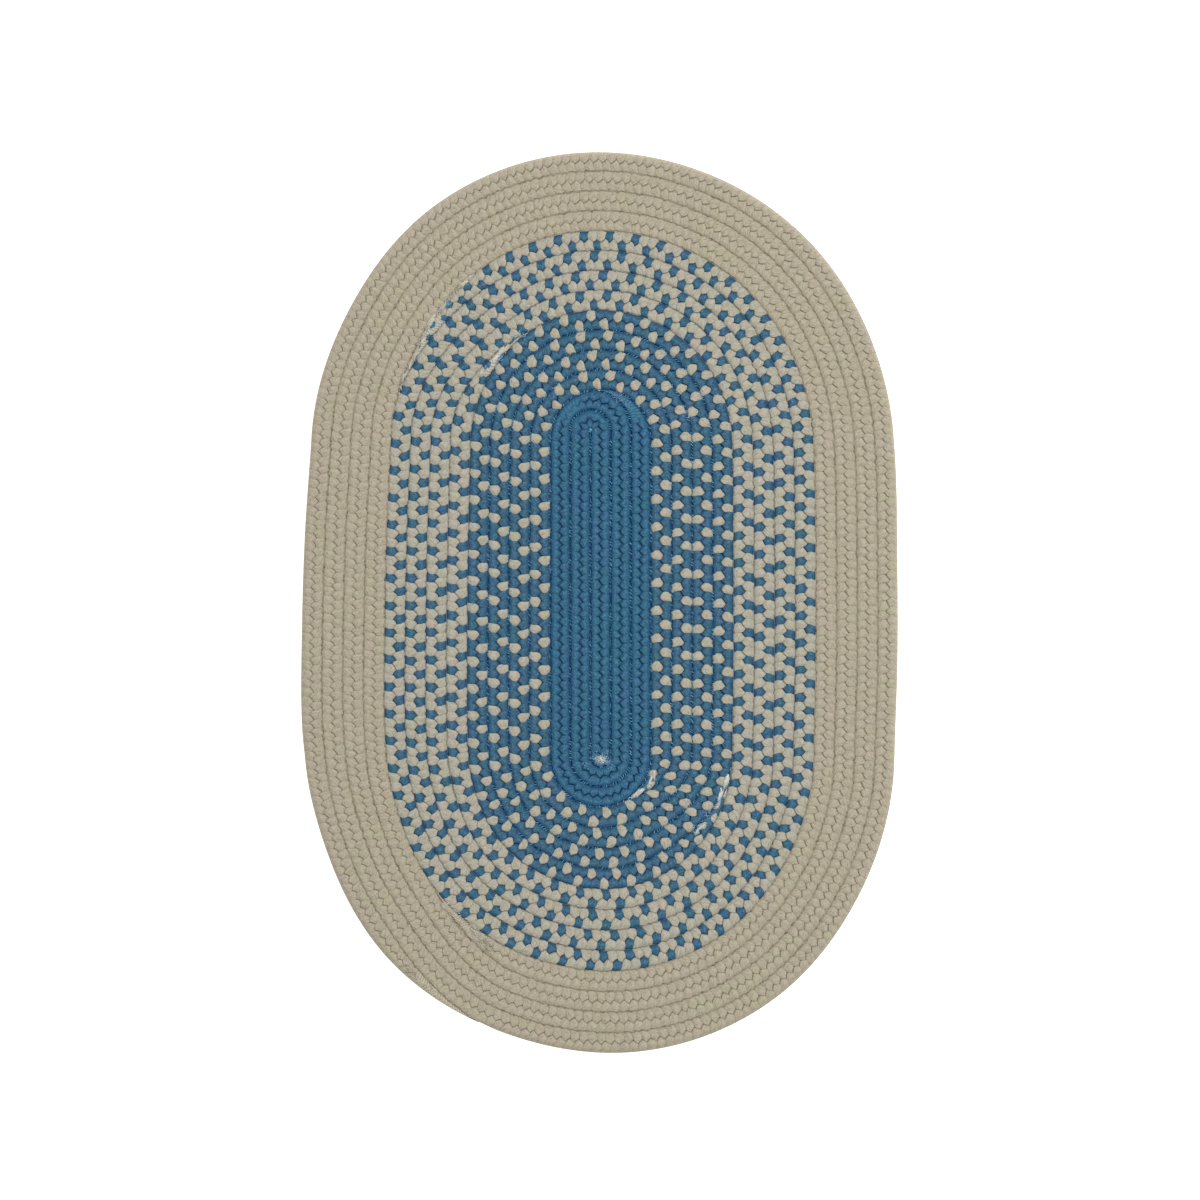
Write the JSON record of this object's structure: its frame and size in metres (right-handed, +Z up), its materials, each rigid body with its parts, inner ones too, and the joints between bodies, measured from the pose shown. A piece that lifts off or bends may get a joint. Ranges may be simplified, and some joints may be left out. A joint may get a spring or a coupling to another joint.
{
  "type": "oval braided rug",
  "caption": "Flat oval floor rug of braid coiled round a straight middle run and laced edge to edge, blue in the middle and tan at the border.",
  "frame": {"origin": "middle of the rug's outline, on the floor side", "axes": "+Y along the rug's length, +X across its width, +Z up out of the face"},
  "size_m": [0.6052, 0.9142, 0.0115],
  "materials": {
    "blue_yarn": "matte blue yarn braid, fine ribbed strands",
    "blue_mix_yarn": "matte yarn braid, two blue strands and one tan",
    "tan_mix_yarn": "matte yarn braid, two tan strands and one blue",
    "tan_yarn": "matte tan yarn braid, fine ribbed strands"
  },
  "bodies": {
    "root": {"blue_centre_braid": "blue_yarn", "blue_mix_braid": "blue_mix_yarn", "tan_mix_braid": "tan_mix_yarn", "tan_border_braid": "tan_yarn"}
  },
  "joints": []
}
